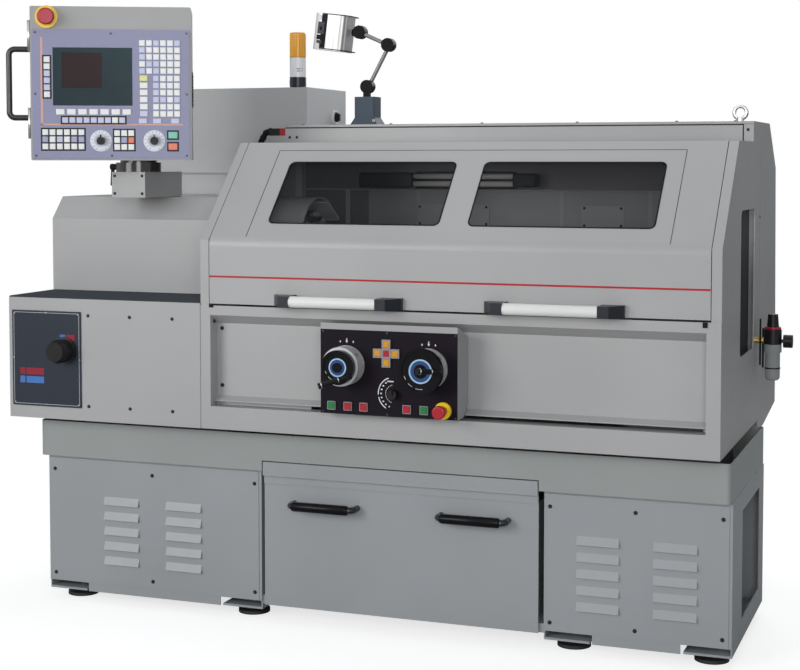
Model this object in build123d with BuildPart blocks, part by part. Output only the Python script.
"""Combination lathe with a lift-up guard, a swivelling control pendant and a chip drawer.

Millimetres, +Z up, +X along the spindle from headstock to tailstock, +Y to the back.
The origin lies on the floor, under the middle of the whole machine.
"""
import os
from math import atan2, cos, degrees, hypot, radians, sin

from build123d import *

os.makedirs("parts", exist_ok=True)

# Shared sizes
overrun = 6.0
sheet = 3.0
running_gap = 0.3
shaft_gap = 0.05
base_front_y = -360.84
base_length = 1950.0
base_depth = 565.0
base_left_x = -base_length / 2
base_right_x = base_length / 2
base_back_y = base_front_y + base_depth

# Pedestals, covers and feet
pedestal_bottom_z = 30.0
tray_bottom_z = 418.0
left_pedestal_share = 0.34513
right_pedestal_share = 0.24564
left_pedestal_length = base_length * left_pedestal_share
right_pedestal_length = base_length * right_pedestal_share
foot_plate = 6.0
foot_plate_size = 118.0
foot_edge = 61.0
foot_setback = 80.0
foot_pad_diameter = 88.0
foot_pad_height = 15.0
foot_neck_diameter = 34.0
foot_stem_diameter = 20.0
foot_stem_length = 42.0
foot_notch_width = 132.0
foot_notch_height = 24.0
side_opening_front = 165.0
side_opening_back = 490.0
side_opening_bottom_z = 85.0
side_opening_top_z = 368.0
cover_bottom_z = 55.0
cover_top_z = 411.0
cover_edge = 8.0
cover_thickness = 2.0
louvre_length = 110.0
louvre_height = 22.0
louvre_proud = 8.0
louvre_pitch = 42.7
louvre_rows = 5
louvre_column_spacing = 197.0
louvre_middle_z = 222.0

# Chip tray and drawer
tray_left_reach = 18.0
tray_right_inset = 3.0
tray_left_x = base_left_x - tray_left_reach
tray_right_x = base_right_x - tray_right_inset
tray_overhang = 15.0
tray_depth = 600.0
tray_top_z = 519.0
tray_corner = 14.0
chute_margin = 70.0
drawer_left_gap = 11.0
drawer_right_gap = 14.0
drawer_left_x = base_left_x + left_pedestal_length + drawer_left_gap
drawer_right_x = base_right_x - right_pedestal_length - drawer_right_gap
drawer_bottom_z = 46.0
drawer_panel_top_z = 398.0
drawer_lip_bottom_z = 405.0
drawer_lip_top_z = 443.0
drawer_lip_proud = 15.0
drawer_depth = 480.0
drawer_side_gap = 16.0
drawer_box_bottom_z = 70.0
drawer_box_top_z = 372.0
drawer_runner_height = 24.0
drawer_handle_length = 183.0
drawer_handle_z = 333.0
drawer_handle_proud = 40.0
drawer_handle_bar = 17.0
drawer_handle_shares = (0.2335, 0.7768)
lip_gap = 3.0

# Bed and headstock
spindle_y = base_front_y + 270.0
spindle_z = 1020.0
swing_radius = 180.0
way_z = spindle_z - swing_radius
bed_width = 250.0
bed_beam_height = 200.0
bed_left_x = -960.0
bed_right_x = 915.0
bed_rail_width = 58.0
bed_rail_lip = 30.0
vee_height = 12.0
vee_width = 34.0
bed_window_length = 170.0
bed_window_pitch = 210.0
bed_window_count = 5
bed_leg_left_length = 480.0
bed_leg_right_length = 240.0
headstock_width = 210.0
headstock_left_x = -940.0
headstock_right_x = -470.0
headstock_crown = 40.0

# Spindle, chuck and chuck guard
spindle_radius = 45.0
spindle_bore_radius = 26.0
spindle_left_x = -1046.0
spindle_nose_x = -335.0
spindle_flange_radius = 70.0
spindle_flange = 22.0
pulley_radius = 82.0
pulley_width = 60.0
pulley_left_x = -1025.0
pulley_groove = 6.0
pulley_grooves = 4
chuck_radius = 100.0
chuck_length = 82.0
chuck_edge = 4.0
jaw_width = 30.0
jaw_height = 58.0
jaw_length = 34.0
jaw_step = 14.0
jaw_bore_radius = 30.0
jaw_count = 3
guard_arc_radius = 138.0
guard_arc_length = 176.0
guard_arc_start = 62.0
guard_arc_sweep = 150.0
guard_pin_radius = 7.0
guard_pin_back = 138.0
guard_pin_rise = 72.0
motor_radius = 105.0
motor_length = 330.0
motor_axis_z = 205.0
motor_foot_height = 16.0
fin_offset_angle = 1.0
motor_fins = 12
motor_fin = 7.0

# Headstock covers
cover_left_x = -1053.0
cover_right_x = -448.0
guard_overhang = 75.0
lower_cover_bottom_z = 535.0
lower_cover_top_z = 876.0
upper_cover_front = 155.0
upper_cover_shoulder_z = 1091.0
upper_cover_top_z = 1155.0
headstock_clearance = 5.0
headstock_top_z = upper_cover_shoulder_z - headstock_clearance
upper_cover_slope_run = 57.0
upper_cover_back = 632.0
upper_cover_bottom_z = 880.0
range_plate_left_x = -1041.0
range_plate_right_x = -818.0
range_plate_bottom_z = 570.0
range_plate_top_z = 840.0
range_plate_proud = 3.0
range_knob_x = -871.0
range_knob_z = 731.0
range_knob_radius = 33.0
range_knob_length = 46.0
range_boss_radius = 38.0
range_boss_length = 7.0

# Guard ends, apron, rear guard and door
guard_left_x = -448.0
guard_right_x = 953.0
guard_frame_width = 25.0
guard_front = -70.0
guard_bottom_z = 535.0
guard_bend_z = 1048.0
guard_slope_top = 184.0
guard_roof_z = 1312.0
hinge_line = 441.0
hinge_drop = 12.0
hinge_pin_radius = 5.0
hinge_pin_length = 14.0
top_box_front = 451.0
top_box_z = 1368.0
top_box_back = 773.0
rear_break = 923.0
rear_break_z = 1240.0
rear_back = 968.0
rear_low_z = 640.0
rear_foot = 705.0
rear_foot_z = 504.0
rear_wall_front = 585.0
end_window_front = 234.0
end_window_back = 490.0
end_window_bottom_z = 750.0
end_window_top_z = 1132.0
end_window_corner = 22.0
nose_hole_radius = 118.0
door_gap = 2.0
door_bottom_z = 876.0
door_bend_radius = 40.0
door_hinge_radius = 7.0
door_return = 26.0
door_slope_length = hypot(guard_slope_top - guard_front, guard_roof_z - guard_bend_z)
window_xs = (-25.5, 537.5)
window_width = 485.0
window_low_share = 0.172
window_high_share = 0.792
window_corner = 16.0
pane_margin = 12.0
pane_thickness = 4.0
door_handle_xs = (-43.0, 538.5)
door_handle_length = 358.0
door_handle_z = 891.5
door_handle_tube_length = 242.0
door_handle_tube_radius = 15.0
door_handle_standoff = 42.0
door_handle_bracket = 30.0
apron_top_z = 871.0
apron_rail_bottom_z = 845.0
recess_left_x = -421.0
recess_right_x = 920.0
recess_top_z = 820.0
recess_bottom_z = 622.0
recess_depth = 45.0
flange_setback = 23.0
flange_z = 611.0
apron_lip_z = 597.0
slot_left_x = -140.0
slot_right_x = 905.0

# Carriage, cross slide and tool turret
carriage_x = 114.0
carriage_length = 200.0
carriage_front = 98.0
carriage_back = 440.0
saddle_height = 42.0
apron_casting_width = 44.0
bracket_thickness = 6.0
bracket_z = 599.0
bracket_front = -100.0
cross_slide_width = 108.0
cross_slide_length = 300.0
cross_slide_height = 46.0
cross_slide_front = 92.0
dovetail_height = 14.0
dovetail_width = 66.0
dovetail_inset = 8.0
turret_size = 104.0
turret_height = 84.0
turret_setback = 62.0
turret_base_height = 26.0
turret_base_radius = 46.0
tool_width = 20.0
tool_reach = 40.0
tool_count = 4

# Operator box and its controls
box_left_x = -74.0
box_right_x = 301.0
box_front = -120.0
box_back = -34.0
box_slope = -116.0
box_back_z = 810.0
box_low_slope = -72.0
box_back_low_z = 634.0
box_bottom_z = 605.0
box_top_z = 841.0
dial_radii = (50.0, 51.0)
dial_length = 50.0
wheel_centres = ((-0.5, 734.0), (224.0, 734.0))
wheel_radii = (44.5, 57.0)
wheel_names = ("handwheel_x", "handwheel_z")
wheel_thickness = 17.0
wheel_rim = 7.0
wheel_hub_radius = 12.5
wheel_hub_length = 20.0
wheel_shaft_radius = 6.0
grip_radius = 8.0
grip_lengths = (80.0, 66.0)
grip_leans = ((-65.0, -44.0, -22.0), (-35.0, -52.0, 6.0))
grip_share = 0.84
grip_angles = (-36.0, 2.0)
grip_boss_radius = 9.0
tail_grip_length = 33.0
jog_centre = (110.0, 768.0)
jog_pitch = 24.0
jog_size = 16.0
button_proud = 7.0
button_depth = 16.0
button_size = 18.0
button_xs = (-42.5, 3.0, 47.0, 165.5, 212.0)
button_z = 626.5
button_names = ("cycle_start", "feed_hold", "spindle_stop", "coolant_off", "coolant_on")
override_centre = (130.0, 664.0)
override_radius = 12.0
override_length = 18.0
stop_centre = (264.0, 628.5)
panel_stop_radius = 17.5
panel_stop_neck = 26.0
stop_radius = 20.0
stop_neck_radius = 12.0
stop_neck = 14.0
stop_cap = 14.0
collar_radius = 22.0
collar_length = 9.0

# Tailstock
tailstock_x = 690.0
tailstock_length = 150.0
tailstock_width = 120.0
tailstock_barrel_radius = 48.0
quill_radius = 25.0
quill_reach = 32.0
centre_length = 36.0
tail_wheel_radius = 66.0
tail_wheel_thickness = 14.0
tail_wheel_gap = 2.0
tail_lever_length = 96.0
tail_lever_radius = 7.0
tail_lever_hub = 14.0
tail_base_height = 40.0

# Pendant
arm_width = 107.0
arm_front = 60.0
arm_depth = 220.0
arm_seat = 2.0
arm_height = 72.0
arm_bottom_z = upper_cover_top_z + arm_seat
arm_top_z = arm_bottom_z + arm_height
ring_radius = 64.0
ring_lift = 2.0
ring_bottom_z = arm_top_z + ring_lift
ring_height = 25.0
swivel_pin_radius = 22.0
swivel_pin_length = 12.0
pendant_neck = 6.0
pendant_turn = 26.4
swivel_x = -742.0
swivel_y = base_front_y + 120.0
pendant_shift = -65.0
pendant_face = 147.0
pendant_width = 440.0
pendant_height = 424.0
pendant_depth = 175.0
pendant_bottom_z = ring_bottom_z + ring_height + pendant_neck
pendant_edge = 5.0
panel_width = 430.0
panel_height = 356.0
panel_lift = 5.0
panel_thickness = 4.0
key_height = 1.6
screen_left = 56.0
screen_top = 50.0
screen_width = 217.0
screen_height = 160.0
screen_recess = 2.0
pendant_stop_edge = 46.0
pendant_stop_drop = 30.0
pendant_stop_radius = 23.0
pendant_collar_radius = 31.0
pendant_knob_xs = (-29.0, 117.0)
pendant_knob_radius = 11.0
pendant_knob_share = 0.862
pendant_knob_length = 16.0
pendant_handle_out = 61.0
pendant_handle_bar = 16.0
pendant_handle_low = 118.0
pendant_handle_length = 189.0
lever_hub_radius = 9.0
lever_reach = 26.0
lever_drop = 54.0
lever_radius = 5.0

# Electrical cabinet, signal tower and lifting eyes
cabinet_left_x = -1015.0
cabinet_right_x = -430.0
cabinet_front = 612.0
cabinet_back = 928.0
cabinet_bottom_z = 560.0
cabinet_head_z = 1223.0
cabinet_top_z = 1488.0
cabinet_edge = 5.0
tower_x = -499.0
tower_setback = 700.0
tower_radius = 26.0
tower_step = 0.5
tower_foot = 5.0
tower_base = 30.0
tower_stem = 62.0
tower_lens = 78.0
eye_ring_radius = 16.5
eye_wire_radius = 5.5
eye_bore_radius = 12.0
eye_shank_radius = 9.0
eye_shank_length = 10.0
eye_cabinet = (-560.0, 800.0)
eye_guard = (909.0, 500.0)
switch_setback = 830.0
switch_z = 1400.0
switch_radius = 22.0
switch_collar = 6.0
switch_knob = 14.0
switch_bar = 9.0

# Work lamp
lamp_x = -206.0
lamp_setback = 555.0
lamp_base_width = 64.0
lamp_base_flare = 86.0
lamp_flare_height = 22.0
lamp_base_height = 84.0
lamp_joint_z = 1483.0
lamp_elbow = (-139.0, 1606.0)
lamp_wrist = (-230.0, 1646.0)
lamp_joint_radius = 20.0
lamp_joint_width = 26.0
lamp_tube_radius = 6.0
lamp_head_width = 104.0
lamp_head_height = 108.0
lamp_head_depth = 90.0
lamp_head_lean = 7.0
lamp_cheek = 7.0
lamp_pivot_radius = 6.0

# Air unit
air_y = base_front_y + 526.0
air_z = 767.0
air_x = 1000.0
air_body_radius = 24.0
air_body_height = 62.0
air_bowl_radius = 20.0
air_bowl_height = 78.0
air_knob_radius = 17.0
air_knob_height = 42.0
air_fitting_radius = 9.0
air_gauge_radius = 18.0
air_gauge_length = 24.0
air_gauge_x = 1029.0
air_stem_radius = 5.0

# Interlock switch on the top box
interlock_left_x = -484.0
interlock_depth = 36.0
interlock_height = 46.0


def middle(span):
    """Halfway between the two ends of a span."""
    return (span[0] + span[1]) / 2


def around(centre, size):
    """The span of a given size about a centre."""
    return (centre - size / 2, centre + size / 2)


def front_plane(y):
    """Upright plane across the machine, facing the operator; its sketch axes are X and Z."""
    return Plane.XZ.offset(-y)


def side_plane(x):
    """Upright plane along the depth, facing the tailstock end; its sketch axes are Y and Z."""
    return Plane.YZ.offset(x)


def depth(offset_y):
    """Y of a point that lies a given distance behind the front of the pedestals."""
    return base_front_y + offset_y


def block(x, y, z, mode=Mode.ADD):
    """A straight-sided block between three spans."""
    with Locations((middle(x), middle(y), middle(z))):
        return Box(x[1] - x[0], y[1] - y[0], z[1] - z[0], mode=mode)


def write(node, label):
    """Name a finished piece and write its file."""
    node.part.label = label
    export_step(node.part, f"parts/{label}.step")


def bow_handle(x, z, length, root_y, proud, bar):
    """A round bar bent into a bow that stands out of a front face."""
    ends = around(x, length)
    with BuildPart() as bow:
        with BuildLine() as path:
            FilletPolyline(
                (ends[0], root_y, z),
                (ends[0], root_y - proud, z),
                (ends[1], root_y - proud, z),
                (ends[1], root_y, z),
                radius=bar,
            )
        with BuildSketch(Plane(origin=(ends[0], root_y, z), z_dir=(0, -1, 0))):
            Circle(bar / 2)
        sweep(path=path.wires()[0])
    return bow.part


# Places that several pieces share
base_span_y = (base_front_y, base_back_y)
left_pedestal_span = (base_left_x, base_left_x + left_pedestal_length)
right_pedestal_span = (base_right_x - right_pedestal_length, base_right_x)
foot_xs = (
    left_pedestal_span[0] + foot_edge,
    left_pedestal_span[1] - foot_edge,
    right_pedestal_span[0] + foot_edge,
    right_pedestal_span[1] - foot_edge,
)
foot_ys = (base_front_y + foot_setback, base_back_y - foot_setback)
drawer_box_span = (drawer_left_x + drawer_side_gap, drawer_right_x - drawer_side_gap)


def pedestal(span, feet, runner):
    """A folded steel pedestal, open underneath, with foot plates and a drawer runner."""
    with BuildPart() as body:
        with BuildSketch(Plane.XY.offset(pedestal_bottom_z)):
            with Locations((middle(span), middle(base_span_y))):
                Rectangle(span[1] - span[0], base_depth)
        extrude(amount=tray_bottom_z - pedestal_bottom_z)
        offset(amount=-sheet, openings=body.faces().sort_by(Axis.Z)[0])
        for x in feet:
            for y in foot_ys:
                plate_y = around(y, 2 * foot_setback - sheet)
                block(around(x, foot_plate_size), plate_y, (pedestal_bottom_z, pedestal_bottom_z + foot_plate))
                with Locations((x, y, pedestal_bottom_z)):
                    Cylinder(foot_stem_diameter / 2 + running_gap, 4 * foot_plate, mode=Mode.SUBTRACT)
            notch_z = (pedestal_bottom_z - overrun, pedestal_bottom_z + foot_notch_height)
            block(around(x, foot_notch_width), (base_front_y - overrun, base_front_y + sheet), notch_z,
                  mode=Mode.SUBTRACT)
        runner_z = (drawer_box_bottom_z - drawer_runner_height, drawer_box_bottom_z)
        block(runner, (base_front_y + 2 * sheet, base_front_y + drawer_depth), runner_z)
    return body


# Left pedestal
left_pedestal = pedestal(left_pedestal_span, foot_xs[:2],
                         (left_pedestal_span[1] - sheet, drawer_box_span[0] + drawer_side_gap))
write(left_pedestal, "left_pedestal")

# Right pedestal, with the opening in its end
right_pedestal = pedestal(right_pedestal_span, foot_xs[2:],
                          (drawer_box_span[1] - drawer_side_gap, right_pedestal_span[0] + sheet))
with right_pedestal:
    block((base_right_x - 2 * sheet, base_right_x + overrun),
          (depth(side_opening_front), depth(side_opening_back)),
          (side_opening_bottom_z, side_opening_top_z), mode=Mode.SUBTRACT)
write(right_pedestal, "right_pedestal")

# Louvred covers over the two pedestals
with BuildPart() as louvred_covers:
    for span in (left_pedestal_span, right_pedestal_span):
        cover_span = (span[0] + cover_edge, span[1] - cover_edge)
        block(cover_span, (base_front_y - cover_thickness, base_front_y), (cover_bottom_z, cover_top_z))
        for column in (-1, 1):
            louvre_x = middle(span) + column * louvre_column_spacing / 2 - louvre_length / 2
            for row in range(louvre_rows):
                low_z = louvre_middle_z + (row - louvre_rows / 2) * louvre_pitch
                face_y = base_front_y - cover_thickness
                with BuildSketch(side_plane(louvre_x)):
                    with BuildLine():
                        Polyline((face_y, low_z), (face_y - louvre_proud, low_z),
                                 (face_y, low_z + louvre_height), close=True)
                    make_face()
                extrude(amount=louvre_length)
write(louvred_covers, "louvred_covers")

# Levelling feet
with BuildPart() as levelling_feet:
    for foot_x in foot_xs:
        for foot_y in foot_ys:
            with BuildSketch(front_plane(foot_y)):
                with BuildLine():
                    Polyline((foot_x, 0), (foot_x + foot_pad_diameter / 2, 0),
                             (foot_x + foot_pad_diameter / 2, foot_pad_height * 3 / 5),
                             (foot_x + foot_neck_diameter / 2, foot_pad_height),
                             (foot_x + foot_neck_diameter / 2, pedestal_bottom_z),
                             (foot_x + foot_stem_diameter / 2, pedestal_bottom_z),
                             (foot_x + foot_stem_diameter / 2, pedestal_bottom_z + foot_stem_length),
                             (foot_x, pedestal_bottom_z + foot_stem_length), close=True)
                make_face()
            revolve(axis=Axis((foot_x, foot_y, 0), (0, 0, 1)))
write(levelling_feet, "levelling_feet")

# Chip tray, with a chute over the drawer
tray_span_x = (tray_left_x, tray_right_x)
tray_span_y = (base_front_y - tray_overhang, base_front_y - tray_overhang + tray_depth)
with BuildPart() as chip_tray:
    with BuildSketch(Plane.XY.offset(tray_bottom_z)):
        with Locations((middle(tray_span_x), middle(tray_span_y))):
            RectangleRounded(tray_right_x - tray_left_x, tray_depth, tray_corner)
    extrude(amount=tray_top_z - tray_bottom_z)
    offset(amount=-sheet, openings=chip_tray.faces().sort_by(Axis.Z)[-1])
    block((drawer_box_span[0] + chute_margin, drawer_box_span[1] - chute_margin),
          (base_front_y + chute_margin, base_front_y + drawer_depth - chute_margin),
          (tray_bottom_z - overrun, tray_bottom_z + 2 * sheet), mode=Mode.SUBTRACT)
    block((drawer_left_x - lip_gap, drawer_right_x + lip_gap),
          (tray_span_y[0] - overrun, base_front_y + lip_gap),
          (tray_bottom_z - overrun, drawer_lip_top_z + lip_gap), mode=Mode.SUBTRACT)
write(chip_tray, "chip_tray")

# Chip drawer: an open box behind a front panel with a folded lip and two bow handles
with BuildPart() as chip_drawer:
    with BuildSketch(Plane.XY.offset(drawer_box_bottom_z)):
        with Locations((middle(drawer_box_span), base_front_y + drawer_depth / 2)):
            Rectangle(drawer_box_span[1] - drawer_box_span[0], drawer_depth)
    extrude(amount=drawer_box_top_z - drawer_box_bottom_z)
    offset(amount=-sheet, openings=chip_drawer.faces().sort_by(Axis.Z)[-1])
    block((drawer_left_x, drawer_right_x), (base_front_y - sheet, base_front_y),
          (drawer_bottom_z, drawer_panel_top_z))
    block((drawer_left_x, drawer_right_x), (base_front_y - sheet - sheet, base_front_y - sheet),
          (drawer_panel_top_z - drawer_lip_proud, drawer_lip_bottom_z))
    block((drawer_left_x, drawer_right_x), (base_front_y - drawer_lip_proud, base_front_y - sheet),
          (drawer_lip_bottom_z, drawer_lip_top_z))
    for share in drawer_handle_shares:
        handle_x = drawer_left_x + (drawer_right_x - drawer_left_x) * share
        add(bow_handle(handle_x, drawer_handle_z, drawer_handle_length, base_front_y - sheet,
                       drawer_handle_proud, drawer_handle_bar))
write(chip_drawer, "chip_drawer")

# Lathe bed: two rails with a vee way and a flat way, ribbed between, on two legs
bed_span_y = around(spindle_y, bed_width)
bed_bottom_z = way_z - bed_beam_height
tray_floor_z = tray_bottom_z + sheet
vee_y = bed_span_y[0] + bed_rail_width / 2
with BuildPart() as lathe_bed:
    with BuildSketch(side_plane(bed_left_x)):
        with BuildLine():
            Polyline((bed_span_y[0], bed_bottom_z), (bed_span_y[1], bed_bottom_z),
                     (bed_span_y[1], way_z), (bed_span_y[1] - bed_rail_width, way_z),
                     (bed_span_y[1] - bed_rail_width, way_z - bed_rail_lip),
                     (bed_span_y[0] + bed_rail_width, way_z - bed_rail_lip),
                     (bed_span_y[0] + bed_rail_width, way_z), (bed_span_y[0], way_z), close=True)
        make_face()
    extrude(amount=bed_right_x - bed_left_x)
    for index in range(bed_window_count):
        window_x = cover_right_x + bed_window_pitch * (index + 1)
        block(around(window_x, bed_window_length),
              (bed_span_y[0] + bed_rail_width, bed_span_y[1] - bed_rail_width),
              (bed_bottom_z - overrun, way_z + overrun), mode=Mode.SUBTRACT)
    with BuildSketch(side_plane(cover_right_x)):
        with BuildLine():
            Polyline((vee_y - vee_width / 2, way_z), (vee_y + vee_width / 2, way_z),
                     (vee_y, way_z + vee_height), close=True)
        make_face()
    extrude(amount=bed_right_x - cover_right_x)
    block((bed_left_x, bed_left_x + bed_leg_left_length), bed_span_y, (tray_floor_z, bed_bottom_z))
    block((bed_right_x - bed_leg_right_length, bed_right_x), bed_span_y, (tray_floor_z, bed_bottom_z))
write(lathe_bed, "lathe_bed")

# Headstock casting, bored for the spindle
headstock_span_y = around(spindle_y, headstock_width)
with BuildPart() as headstock_casting:
    block((headstock_left_x, headstock_right_x), headstock_span_y, (way_z, headstock_top_z))
    fillet(headstock_casting.edges().filter_by(Axis.X).group_by(Axis.Z)[-1], radius=headstock_crown)
    with Locations(Plane(origin=(headstock_left_x, spindle_y, spindle_z), z_dir=(1, 0, 0))):
        Cylinder(spindle_radius + shaft_gap, 3 * (headstock_right_x - headstock_left_x), mode=Mode.SUBTRACT)
write(headstock_casting, "headstock_casting")

# Spindle, bored for bar stock, with its drive pulley at the back end
spindle_axis = Axis((0, spindle_y, spindle_z), (1, 0, 0))
with BuildPart() as spindle:
    with BuildSketch(Plane(origin=(0, spindle_y, spindle_z), x_dir=(1, 0, 0), z_dir=(0, -1, 0))):
        with BuildLine():
            Polyline((spindle_left_x, spindle_bore_radius), (spindle_left_x, spindle_radius),
                     (spindle_nose_x - spindle_flange, spindle_radius),
                     (spindle_nose_x - spindle_flange, spindle_flange_radius),
                     (spindle_nose_x, spindle_flange_radius), (spindle_nose_x, spindle_bore_radius), close=True)
        make_face()
        with BuildLine():
            Polyline((pulley_left_x, spindle_radius), (pulley_left_x, pulley_radius),
                     (pulley_left_x + pulley_width, pulley_radius),
                     (pulley_left_x + pulley_width, spindle_radius), close=True)
        make_face()
        groove_pitch = pulley_width / pulley_grooves
        for groove in range(pulley_grooves):
            groove_x = pulley_left_x + groove_pitch * (groove + 1 / 2)
            with BuildLine():
                Polyline((groove_x - pulley_groove, pulley_radius), (groove_x, pulley_radius - pulley_groove),
                         (groove_x + pulley_groove, pulley_radius), close=True)
            make_face(mode=Mode.SUBTRACT)
    revolve(axis=spindle_axis)
write(spindle, "spindle")

# Three-jaw chuck with stepped jaws
chuck_face_x = spindle_nose_x + chuck_length
with BuildPart() as chuck:
    with Locations(Plane(origin=(spindle_nose_x, spindle_y, spindle_z), z_dir=(1, 0, 0))):
        Cylinder(chuck_radius, chuck_length, align=(Align.CENTER, Align.CENTER, Align.MIN))
        Cylinder(spindle_bore_radius, chuck_length, align=(Align.CENTER, Align.CENTER, Align.MIN),
                 mode=Mode.SUBTRACT)
    chamfer(chuck.edges().filter_by(GeomType.CIRCLE).sort_by(SortBy.RADIUS)[-2:], length=chuck_edge)
    with Locations(Plane(origin=(chuck_face_x, spindle_y, spindle_z), x_dir=(0, 1, 0), z_dir=(1, 0, 0))):
        with PolarLocations(0, jaw_count):
            with Locations((jaw_bore_radius, 0, 0)):
                Box(jaw_height, jaw_width, jaw_length, align=(Align.MIN, Align.CENTER, Align.MIN))
            with Locations((jaw_bore_radius, 0, jaw_length - jaw_step)):
                Box(jaw_height / 2, 2 * jaw_width, jaw_step, align=(Align.MAX, Align.CENTER, Align.MIN),
                    mode=Mode.SUBTRACT)
write(chuck, "chuck")

# Chuck guard: a curved shield on a pin that turns in the left guard end
guard_pin_y = spindle_y + guard_pin_back
guard_pin_z = spindle_z + guard_pin_rise
guard_arc_left_x = guard_left_x + guard_frame_width + 2 * sheet
with BuildPart() as chuck_guard:
    with BuildSketch(Plane(origin=(guard_arc_left_x, spindle_y, spindle_z), x_dir=(0, 1, 0), z_dir=(1, 0, 0))):
        with BuildLine():
            outer = CenterArc((0, 0), guard_arc_radius, guard_arc_start, guard_arc_sweep)
            inner = CenterArc((0, 0), guard_arc_radius - sheet, guard_arc_start, guard_arc_sweep)
            Line(outer @ 0, inner @ 0)
            Line(outer @ 1, inner @ 1)
        make_face()
    extrude(amount=guard_arc_length)
    arc_end_y = spindle_y + guard_arc_radius * cos(radians(guard_arc_start))
    arc_end_z = spindle_z + guard_arc_radius * sin(radians(guard_arc_start))
    with BuildSketch(side_plane(guard_arc_left_x)):
        with BuildLine():
            Polyline((arc_end_y - 2 * sheet, arc_end_z - sheet), (arc_end_y - 2 * sheet, arc_end_z + 2 * sheet),
                     (guard_pin_y, guard_pin_z + guard_pin_radius), (guard_pin_y, guard_pin_z - guard_pin_radius),
                     close=True)
        make_face()
    extrude(amount=guard_arc_length)
    with Locations(Plane(origin=(guard_left_x + sheet, guard_pin_y, guard_pin_z), z_dir=(1, 0, 0))):
        Cylinder(guard_pin_radius, guard_arc_left_x + guard_arc_length - guard_left_x - sheet,
                 align=(Align.CENTER, Align.CENTER, Align.MIN))
write(chuck_guard, "chuck_guard")

# Drive motor on the floor of the left pedestal's foot plates
motor_x = middle(left_pedestal_span)
with BuildPart() as drive_motor:
    with Locations(Plane(origin=(motor_x - motor_length / 2, middle(base_span_y), motor_axis_z), z_dir=(1, 0, 0))):
        Cylinder(motor_radius, motor_length, align=(Align.CENTER, Align.CENTER, Align.MIN))
        with PolarLocations(motor_radius, motor_fins, start_angle=fin_offset_angle):
            Box(2 * motor_fin, motor_fin, motor_length * 3 / 4, align=(Align.CENTER, Align.CENTER, Align.MIN))
    foot_reach = foot_xs[1] - foot_xs[0]
    block(around(motor_x, foot_reach), (foot_ys[0] + foot_setback / 2, foot_ys[1] - foot_setback / 2),
          (pedestal_bottom_z + foot_plate, pedestal_bottom_z + foot_plate + motor_foot_height))
    block(around(motor_x, motor_length / 2), around(middle(base_span_y), motor_radius),
          (pedestal_bottom_z + foot_plate, motor_axis_z))
write(drive_motor, "drive_motor")

# Lower headstock cover: a folded box with a plate and a boss for the range knob
cover_span_x = (cover_left_x, cover_right_x)
lower_front_y = base_front_y - guard_overhang
with BuildPart() as headstock_lower_cover:
    with BuildSketch(Plane.XY.offset(lower_cover_bottom_z)):
        with Locations((middle(cover_span_x), middle((lower_front_y, depth(upper_cover_back))))):
            Rectangle(cover_right_x - cover_left_x, depth(upper_cover_back) - lower_front_y)
    extrude(amount=lower_cover_top_z - lower_cover_bottom_z)
    offset(amount=-sheet, openings=headstock_lower_cover.faces().sort_by(Axis.Z)[0])
    block((cover_left_x + sheet, cover_right_x + overrun),
          (depth(upper_cover_front) + sheet, depth(upper_cover_back) - sheet),
          (lower_cover_bottom_z - overrun, lower_cover_top_z + overrun), mode=Mode.SUBTRACT)
    block((cover_right_x - 2 * sheet, cover_right_x + overrun),
          (bed_span_y[0] - overrun, depth(upper_cover_front) + 2 * sheet),
          (lower_cover_bottom_z - overrun, way_z + overrun), mode=Mode.SUBTRACT)
    block((range_plate_left_x, range_plate_right_x), (lower_front_y - range_plate_proud, lower_front_y),
          (range_plate_bottom_z, range_plate_top_z))
    with Locations(Plane(origin=(range_knob_x, lower_front_y, range_knob_z), z_dir=(0, -1, 0))):
        Cylinder(range_boss_radius, range_plate_proud + range_boss_length,
                 align=(Align.CENTER, Align.CENTER, Align.MIN))
write(headstock_lower_cover, "headstock_lower_cover")

# Range knob on its boss
range_knob_y = lower_front_y - range_plate_proud - range_boss_length
with BuildPart() as range_knob:
    with BuildSketch(Plane(origin=(range_knob_x, range_knob_y, range_knob_z), x_dir=(0, 0, 1), z_dir=(1, 0, 0))):
        with BuildLine():
            Polyline((0, 0), (range_knob_radius, 0), (range_knob_radius, range_knob_length * 3 / 5),
                     (range_knob_radius * 4 / 5, range_knob_length), (0, range_knob_length), close=True)
        make_face()
    revolve(axis=Axis((range_knob_x, range_knob_y, range_knob_z), (0, -1, 0)))
write(range_knob, "range_knob")

# Upper headstock cover: a folded hood, open underneath, over the casting and the spindle
with BuildPart() as headstock_upper_cover:
    with BuildSketch(side_plane(cover_left_x)):
        with BuildLine():
            Polyline((depth(upper_cover_front), upper_cover_bottom_z),
                     (depth(upper_cover_front), upper_cover_shoulder_z),
                     (depth(upper_cover_front + upper_cover_slope_run), upper_cover_top_z),
                     (depth(upper_cover_back), upper_cover_top_z),
                     (depth(upper_cover_back), upper_cover_bottom_z), close=True)
        make_face()
    extrude(amount=cover_right_x - cover_left_x)
    offset(amount=-sheet, openings=headstock_upper_cover.faces().sort_by(Axis.Z)[0])
    with Locations(Plane(origin=(cover_left_x, spindle_y, spindle_z), z_dir=(1, 0, 0))):
        Cylinder(spindle_radius + overrun, 4 * sheet, mode=Mode.SUBTRACT)
    with Locations(Plane(origin=(cover_right_x, spindle_y, spindle_z), z_dir=(1, 0, 0))):
        Cylinder(nose_hole_radius, 4 * sheet, mode=Mode.SUBTRACT)
write(headstock_upper_cover, "headstock_upper_cover")

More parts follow.
